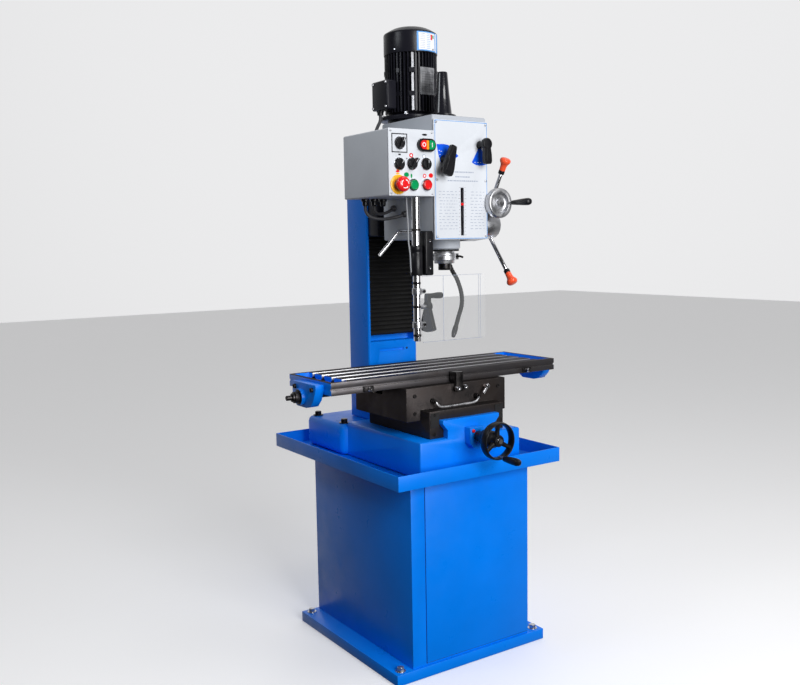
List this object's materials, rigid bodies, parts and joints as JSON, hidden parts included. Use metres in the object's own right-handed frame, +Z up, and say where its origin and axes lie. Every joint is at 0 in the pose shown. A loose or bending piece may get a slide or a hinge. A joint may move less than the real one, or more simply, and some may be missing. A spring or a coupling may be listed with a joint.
{
  "type": "milling machine",
  "caption": "Geared-head milling and drilling machine on a sheet-metal stand, with a slotted cross table, tilting head, capstan-fed quill, top motor and side control box.",
  "frame": {"origin": "the middle of the floor plate's underside", "axes": "+Z up, -Y towards the operator, +X to the operator's right along the table"},
  "size_m": [0.918, 0.858, 1.8335],
  "materials": {
    "blue_paint": "gloss enamel",
    "grey_paint": "satin grey enamel on cast iron",
    "blue_casting": "gloss blue enamel on cast iron",
    "white_panel": "satin white enamel",
    "grey_sheet": "satin grey enamel",
    "black_plastic": "moulded satin",
    "motor_paint": "satin black enamel",
    "black_sheet": "satin black enamel",
    "rubber": "matte",
    "ground_iron": "ground and oiled",
    "steel": "ground",
    "black_steel": "blackened",
    "chrome": "polished",
    "orange_plastic": "gloss",
    "red_plastic": "gloss",
    "green_plastic": "gloss",
    "clear_sheet": "clear, polished"
  },
  "bodies": {
    "frame": {"base_plate": "blue_paint", "stand_cabinet": "blue_paint", "front_panel": "blue_paint", "chip_tray": "blue_paint", "machine_base": "blue_casting", "column": "blue_casting", "column_cap": "blue_paint", "crank_bracket": "blue_casting", "bellows": "rubber"},
    "lift_crank": {"lift_crank": "black_steel"},
    "z_feed": {"z_screw": "steel"},
    "y_feed": {"y_screw": "steel", "y_handwheel": "black_plastic"},
    "saddle": {"saddle": "ground_iron", "stop_block": "black_plastic"},
    "saddle_lock": {"saddle_lock_lever": "chrome"},
    "x_feed": {"x_screw": "steel"},
    "table": {"table": "ground_iron", "left_end_bracket": "blue_casting", "right_end_bracket": "blue_casting", "left_table_stop": "steel", "right_table_stop": "steel"},
    "head_slide": {"head_slide": "grey_paint"},
    "head": {"head_housing": "grey_paint", "front_plate": "white_panel", "motor_body": "motor_paint", "fan_cowl": "black_sheet", "terminal_box": "black_sheet", "drawbar_cover": "black_plastic", "control_box": "grey_sheet", "control_panel": "white_panel", "feed_case": "grey_paint", "guard_bracket": "black_plastic", "guard_clamp": "black_plastic", "coolant_hose": "rubber"},
    "motor_pinion": {"motor_pinion": "steel"},
    "idler": {"idler_gear": "steel"},
    "spindle_gear": {"spindle_gear": "steel"},
    "capstan": {"capstan_hub": "steel", "capstan_knob_1": "orange_plastic", "capstan_knob_2": "orange_plastic", "capstan_knob_3": "orange_plastic"},
    "quill": {"quill": "steel", "quill_collar": "steel"},
    "spindle": {"spindle": "black_steel"},
    "fine_feed": {"fine_feed_wheel": "steel"},
    "left_selector": {"left_selector": "black_plastic"},
    "right_selector": {"right_selector": "black_plastic"},
    "quill_lock": {"quill_lock_lever": "chrome"},
    "guard": {"guard_pole": "chrome", "guard_panel": "clear_sheet"},
    "emergency_stop": {"emergency_stop": "red_plastic"},
    "start_button": {"start_button": "green_plastic"},
    "stop_button": {"stop_button": "red_plastic"},
    "power_on_button": {"power_on_button": "green_plastic"},
    "power_off_button": {"power_off_button": "red_plastic"},
    "speed_range_switch": {"speed_range_switch": "black_plastic"},
    "coolant_selector": {"coolant_selector": "black_plastic"},
    "direction_selector": {"direction_selector": "black_plastic"},
    "mode_selector": {"mode_selector": "black_plastic"}
  },
  "joints": [
    {"name": "lift_crank_turn", "type": "hinge", "parent": "frame", "child": "lift_crank", "pos_m": [0.1, 0.151, 1.003], "axis": [1, 0, 0], "range_deg": [-3240, 3240]},
    {"name": "z_screw_turn", "type": "hinge", "parent": "frame", "child": "z_feed", "pos_m": [0, 0.153, 1.2], "axis": [0, 0, 1], "range_deg": [-3240, 3240]},
    {"name": "head_lift", "type": "slide", "parent": "frame", "child": "head_slide", "axis": [0, 0, 1], "range_m": [-0.045, 0.045], "deforming": ["bellows"]},
    {"name": "y_wheel_turn", "type": "hinge", "parent": "frame", "child": "y_feed", "pos_m": [0, -0.388, 0.67], "axis": [0, 1, 0], "range_deg": [-6840, 4320]},
    {"name": "saddle_travel", "type": "slide", "parent": "frame", "child": "saddle", "axis": [0, 1, 0], "range_m": [-0.095, 0.06]},
    {"name": "saddle_lock_turn", "type": "hinge", "parent": "saddle", "child": "saddle_lock", "pos_m": [0.1, -0.2103, 0.792], "axis": [0, 1, 0], "range_deg": [-90, 45]},
    {"name": "table_travel", "type": "slide", "parent": "saddle", "child": "table", "axis": [1, 0, 0], "range_m": [-0.22, 0.22]},
    {"name": "x_screw_turn", "type": "hinge", "parent": "table", "child": "x_feed", "pos_m": [0, -0.064, 0.796], "axis": [1, 0, 0], "range_deg": [-15840, 15840]},
    {"name": "head_tilt", "type": "hinge", "parent": "head_slide", "child": "head", "pos_m": [0, 0.041, 1.37], "axis": [0, 1, 0], "range_deg": [-90, 90]},
    {"name": "spindle_gear_turn", "type": "hinge", "parent": "head", "child": "spindle_gear", "pos_m": [0, -0.155, 1.47], "axis": [0, 0, 1], "continuous": true},
    {"name": "idler_turn", "type": "hinge", "parent": "head", "child": "idler", "pos_m": [0.0135, -0.0569, 1.47], "axis": [0, 0, 1], "continuous": true},
    {"name": "motor_pinion_turn", "type": "hinge", "parent": "head", "child": "motor_pinion", "pos_m": [0, 0, 1.47], "axis": [0, 0, 1], "continuous": true},
    {"name": "capstan_turn", "type": "hinge", "parent": "head", "child": "capstan", "pos_m": [0.186, -0.106, 1.26], "axis": [1, 0, 0], "range_deg": [0, 414], "stiffness_Nm_per_rad": 0.9, "springref_deg": -171.89},
    {"name": "quill_feed", "type": "slide", "parent": "head", "child": "quill", "axis": [0, 0, -1], "range_m": [0, 0.1301]},
    {"name": "spindle_turn", "type": "hinge", "parent": "quill", "child": "spindle", "pos_m": [0, -0.155, 1.13], "axis": [0, 0, 1], "continuous": true},
    {"name": "fine_feed_turn", "type": "hinge", "parent": "head", "child": "fine_feed", "pos_m": [0.123, -0.2295, 1.318], "axis": [0, 1, 0], "continuous": true},
    {"name": "left_selector_turn", "type": "hinge", "parent": "head", "child": "left_selector", "pos_m": [-0.062, -0.239, 1.436], "axis": [0, 1, 0], "range_deg": [-40, 40]},
    {"name": "right_selector_turn", "type": "hinge", "parent": "head", "child": "right_selector", "pos_m": [0.064, -0.239, 1.479], "axis": [0, 1, 0], "range_deg": [-35, 35]},
    {"name": "quill_lock_turn", "type": "hinge", "parent": "head", "child": "quill_lock", "pos_m": [-0.1, -0.155, 1.243], "axis": [1, 0, 0], "range_deg": [-60, 60]},
    {"name": "guard_swing", "type": "hinge", "parent": "head", "child": "guard", "pos_m": [-0.14, -0.215, 1], "axis": [0, 0, 1], "range_deg": [-120, 0]},
    {"name": "emergency_stop_press", "type": "slide", "parent": "head", "child": "emergency_stop", "axis": [0, 1, 0], "range_m": [0, 0.004], "stiffness_N_per_m": 250, "springref_m": -0.002},
    {"name": "start_button_press", "type": "slide", "parent": "head", "child": "start_button", "axis": [0, 1, 0], "range_m": [0, 0.004], "stiffness_N_per_m": 250, "springref_m": -0.002},
    {"name": "stop_button_press", "type": "slide", "parent": "head", "child": "stop_button", "axis": [0, 1, 0], "range_m": [0, 0.004], "stiffness_N_per_m": 250, "springref_m": -0.002},
    {"name": "power_on_button_press", "type": "slide", "parent": "head", "child": "power_on_button", "axis": [0, 1, 0], "range_m": [0, 0.004], "stiffness_N_per_m": 250, "springref_m": -0.002},
    {"name": "power_off_button_press", "type": "slide", "parent": "head", "child": "power_off_button", "axis": [0, 1, 0], "range_m": [0, 0.004], "stiffness_N_per_m": 250, "springref_m": -0.002},
    {"name": "speed_range_switch_turn", "type": "hinge", "parent": "head", "child": "speed_range_switch", "pos_m": [-0.206, -0.239, 1.473], "axis": [0, 1, 0], "range_deg": [-45, 45]},
    {"name": "coolant_selector_turn", "type": "hinge", "parent": "head", "child": "coolant_selector", "pos_m": [-0.208, -0.239, 1.418], "axis": [0, 1, 0], "range_deg": [-75, 15]},
    {"name": "direction_selector_turn", "type": "hinge", "parent": "head", "child": "direction_selector", "pos_m": [-0.167, -0.239, 1.42], "axis": [0, 1, 0], "range_deg": [-15, 75]},
    {"name": "mode_selector_turn", "type": "hinge", "parent": "head", "child": "mode_selector", "pos_m": [-0.121, -0.239, 1.4205], "axis": [0, 1, 0], "range_deg": [-45, 45]}
  ],
  "couplings": [
    {"joint": "z_screw_turn", "follows": "head_lift", "rad_per_m": -1256.6},
    {"joint": "lift_crank_turn", "follows": "head_lift", "rad_per_m": 1256.6},
    {"joint": "y_wheel_turn", "follows": "saddle_travel", "rad_per_m": 1256.6},
    {"joint": "x_screw_turn", "follows": "table_travel", "rad_per_m": 1256.6},
    {"joint": "idler_turn", "follows": "spindle_gear_turn", "ratio": -1.2},
    {"joint": "motor_pinion_turn", "follows": "spindle_gear_turn", "ratio": 4},
    {"joint": "spindle_turn", "follows": "spindle_gear_turn", "ratio": 1},
    {"joint": "quill_feed", "follows": "capstan_turn", "m_per_rad": 0.018}
  ]
}
